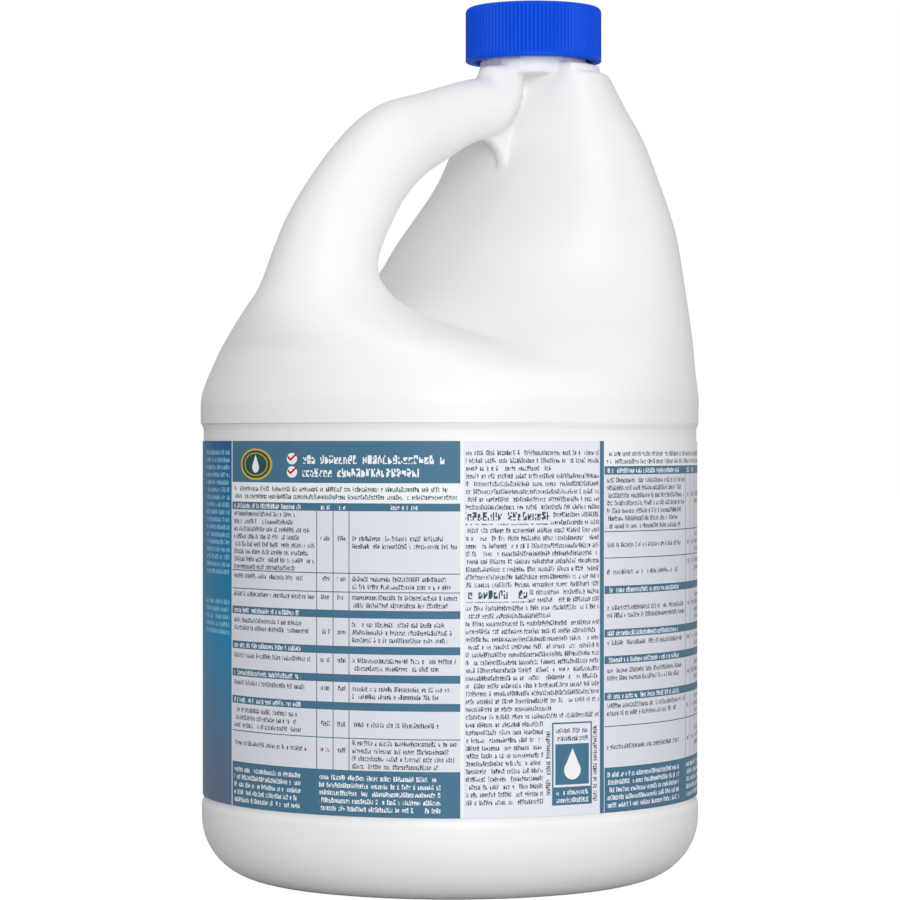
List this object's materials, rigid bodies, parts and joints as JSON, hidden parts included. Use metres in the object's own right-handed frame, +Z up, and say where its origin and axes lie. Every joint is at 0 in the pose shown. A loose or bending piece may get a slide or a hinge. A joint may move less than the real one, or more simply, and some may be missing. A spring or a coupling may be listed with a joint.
{
  "type": "bleach bottle",
  "caption": "Round blow-moulded plastic jug with a hollow side handle, an offset neck, a ribbed blue screw cap with a sealing disc, and a wrap-around printed label.",
  "frame": {"origin": "centre of the base, on the surface that the bottle stands on", "axes": "+Z up along the bottle, +X from the handle towards the neck, +Y along the handle's finger gap"},
  "size_m": [0.1612, 0.1612, 0.285],
  "materials": {
    "white_plastic": "satin natural white polyethylene",
    "blue_plastic": "semi-gloss moulded blue",
    "liner_foam": "matte foamed sheet",
    "label_film": "printed film, satin"
  },
  "bodies": {
    "bottle_body": {"bottle": "white_plastic", "wrap_label": "label_film"},
    "liner_body": {"cap_liner": "liner_foam"},
    "cap_body": {"cap": "blue_plastic"}
  },
  "joints": [
    {"name": "cap_lift", "type": "slide", "parent": "bottle_body", "child": "liner_body", "axis": [0, 0, 1], "range_m": [0, 0.00635]},
    {"name": "cap_turn", "type": "hinge", "parent": "liner_body", "child": "cap_body", "pos_m": [0.0374, 0, 0.276], "axis": [0, 0, 1], "range_deg": [0, 540]}
  ],
  "couplings": [
    {"joint": "cap_turn", "follows": "cap_lift", "rad_per_m": 1483.6}
  ]
}
